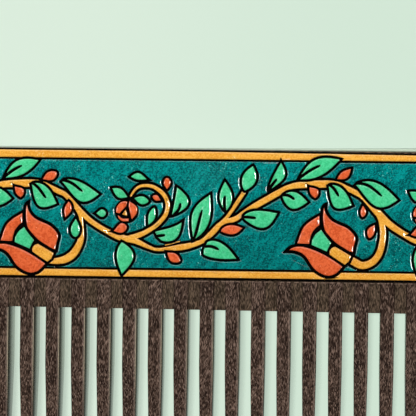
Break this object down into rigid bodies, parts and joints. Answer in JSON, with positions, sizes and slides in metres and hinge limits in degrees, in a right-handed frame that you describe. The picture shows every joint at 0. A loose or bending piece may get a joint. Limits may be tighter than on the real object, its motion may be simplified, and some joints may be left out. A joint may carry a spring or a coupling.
{
  "type": "comb",
  "caption": "Long-handled wooden comb for combing and dressing the hair, with a painted panel of vine scrolls along its spine and a row of narrow straight teeth.",
  "frame": {"origin": "middle of the comb's length and height, in the plane of its plain underside", "axes": "+X along the comb towards the end of the handle, +Y from the tooth tips to the spine, +Z out of the painted face"},
  "size_m": [0.19, 0.049, 0.0078],
  "materials": {
    "back_wood": "dark, satin",
    "strip_wood": "dark reddish, satin",
    "spacer_wood": "dark grey-brown, satin",
    "black_lacquer": "gloss",
    "teal_enamel": "gloss, mottled",
    "gold_enamel": "gloss, mottled",
    "green_enamel": "gloss",
    "red_enamel": "gloss"
  },
  "bodies": {
    "root": {"comb_back": "back_wood", "guard_tooth_left": "strip_wood", "guard_tooth_right": "strip_wood", "tooth_01": "strip_wood", "tooth_02": "strip_wood", "tooth_03": "strip_wood", "tooth_04": "strip_wood", "tooth_05": "strip_wood", "tooth_06": "strip_wood", "tooth_07": "strip_wood", "tooth_08": "strip_wood", "tooth_09": "strip_wood", "tooth_10": "strip_wood", "tooth_11": "strip_wood", "tooth_12": "strip_wood", "tooth_13": "strip_wood", "tooth_14": "strip_wood", "tooth_15": "strip_wood", "tooth_16": "strip_wood", "tooth_17": "strip_wood", "tooth_18": "strip_wood", "tooth_19": "strip_wood", "tooth_20": "strip_wood", "tooth_21": "strip_wood", "tooth_22": "strip_wood", "tooth_23": "strip_wood", "tooth_24": "strip_wood", "tooth_25": "strip_wood", "tooth_26": "strip_wood", "tooth_27": "strip_wood", "spacers": "spacer_wood", "panel_base": "black_lacquer", "panel_ground": "teal_enamel", "border_band": "gold_enamel", "vine": "gold_enamel", "leaves": "green_enamel", "buds": "red_enamel", "petals": "red_enamel", "flower_hearts": "green_enamel"}
  },
  "joints": []
}
